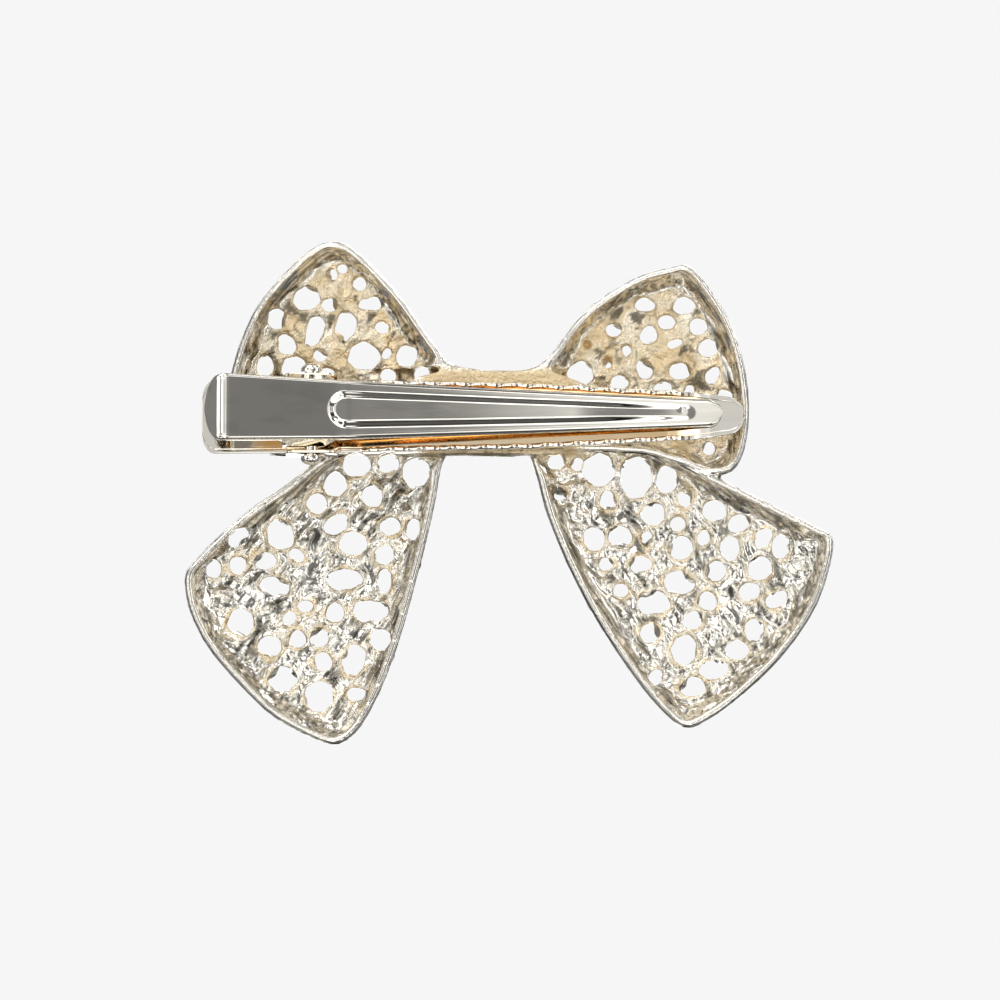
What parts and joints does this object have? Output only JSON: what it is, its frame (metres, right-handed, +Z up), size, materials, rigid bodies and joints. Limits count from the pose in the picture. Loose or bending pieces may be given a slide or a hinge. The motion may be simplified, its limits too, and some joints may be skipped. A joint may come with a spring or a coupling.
{
  "type": "rhinestone hair clip",
  "caption": "Bow-shaped openwork hair clip with rhinestones on its front and a sprung single-prong clip across its back.",
  "frame": {"origin": "middle of the grip plane, where the two jaws of the clip meet and hold the hair", "axes": "+Z up as worn, +X to the right as seen from the clip side along the clip's length towards its tip, +Y from the clip towards the stones"},
  "size_m": [0.0706, 0.0158, 0.0551],
  "materials": {
    "casting_metal": "pale gold plated zinc casting, rough inside, polished rims",
    "clip_metal": "mirror-bright pale gold plating",
    "spring_steel": "drawn wire",
    "solder": "dull soft solder",
    "rhinestone": "clear faceted glass with a silvered back"
  },
  "bodies": {
    "bow": {"bow_casting": "casting_metal", "lower_jaw": "clip_metal", "hinge_pin": "clip_metal", "torsion_spring": "spring_steel", "solder_pad_1": "solder", "solder_pad_2": "solder", "rhinestone_01": "rhinestone", "rhinestone_02": "rhinestone", "rhinestone_03": "rhinestone", "rhinestone_04": "rhinestone", "rhinestone_05": "rhinestone", "rhinestone_06": "rhinestone", "rhinestone_07": "rhinestone", "rhinestone_08": "rhinestone", "rhinestone_09": "rhinestone", "rhinestone_10": "rhinestone", "rhinestone_11": "rhinestone", "rhinestone_12": "rhinestone", "rhinestone_13": "rhinestone", "rhinestone_14": "rhinestone", "rhinestone_15": "rhinestone", "rhinestone_16": "rhinestone", "rhinestone_17": "rhinestone", "rhinestone_18": "rhinestone", "rhinestone_19": "rhinestone", "rhinestone_20": "rhinestone", "rhinestone_21": "rhinestone", "rhinestone_22": "rhinestone", "rhinestone_23": "rhinestone", "rhinestone_24": "rhinestone", "rhinestone_25": "rhinestone", "rhinestone_26": "rhinestone", "rhinestone_27": "rhinestone", "rhinestone_28": "rhinestone", "rhinestone_29": "rhinestone", "rhinestone_30": "rhinestone", "rhinestone_31": "rhinestone", "rhinestone_32": "rhinestone", "rhinestone_33": "rhinestone", "rhinestone_34": "rhinestone", "rhinestone_35": "rhinestone", "rhinestone_36": "rhinestone", "rhinestone_37": "rhinestone", "rhinestone_38": "rhinestone", "rhinestone_39": "rhinestone", "rhinestone_40": "rhinestone", "rhinestone_41": "rhinestone", "rhinestone_42": "rhinestone", "rhinestone_43": "rhinestone", "rhinestone_44": "rhinestone", "rhinestone_45": "rhinestone", "rhinestone_46": "rhinestone", "rhinestone_47": "rhinestone", "rhinestone_48": "rhinestone", "rhinestone_49": "rhinestone", "rhinestone_50": "rhinestone"},
    "lever": {"upper_lever": "clip_metal"}
  },
  "joints": [
    {"name": "lever_hinge", "type": "hinge", "parent": "bow", "child": "lever", "pos_m": [-0.0204, -0.0016, 0], "axis": [0, 0, -1], "range_deg": [0, 28], "stiffness_Nm_per_rad": 0.06, "springref_deg": -34.38, "deforming": ["torsion_spring"]}
  ]
}
